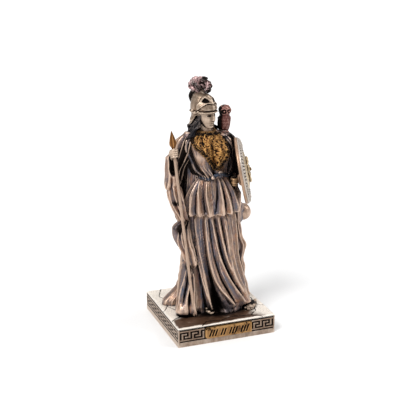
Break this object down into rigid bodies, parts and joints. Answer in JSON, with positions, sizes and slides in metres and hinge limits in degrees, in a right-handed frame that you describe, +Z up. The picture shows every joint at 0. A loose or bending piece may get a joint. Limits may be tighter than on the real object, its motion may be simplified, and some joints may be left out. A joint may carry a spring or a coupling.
{
  "type": "helmeted goddess statuette",
  "caption": "Small painted cast statue of a helmeted goddess with spear, round shield and owl, on a square plinth with a key-pattern band and a plate.",
  "frame": {"origin": "centre of the plinth's flat underside", "axes": "+Z up; the plinth's face with the plate looks along -Y; +X is the statue's left, the shield's side"},
  "size_m": [0.035, 0.0357, 0.0871],
  "materials": {
    "figure": "antiqued bronze paint, dark in the folds, with blue-grey washes",
    "spear": "antiqued bronze paint, gold blade",
    "shield": "silvery bronze paint, gold mask",
    "plinth": "pale bronze paint, black in the sunk band",
    "nameplate": "gold paint with dark strokes"
  },
  "bodies": {
    "root": {"figure": "figure", "spear": "spear", "shield": "shield", "plinth": "plinth", "nameplate": "nameplate"}
  },
  "joints": []
}
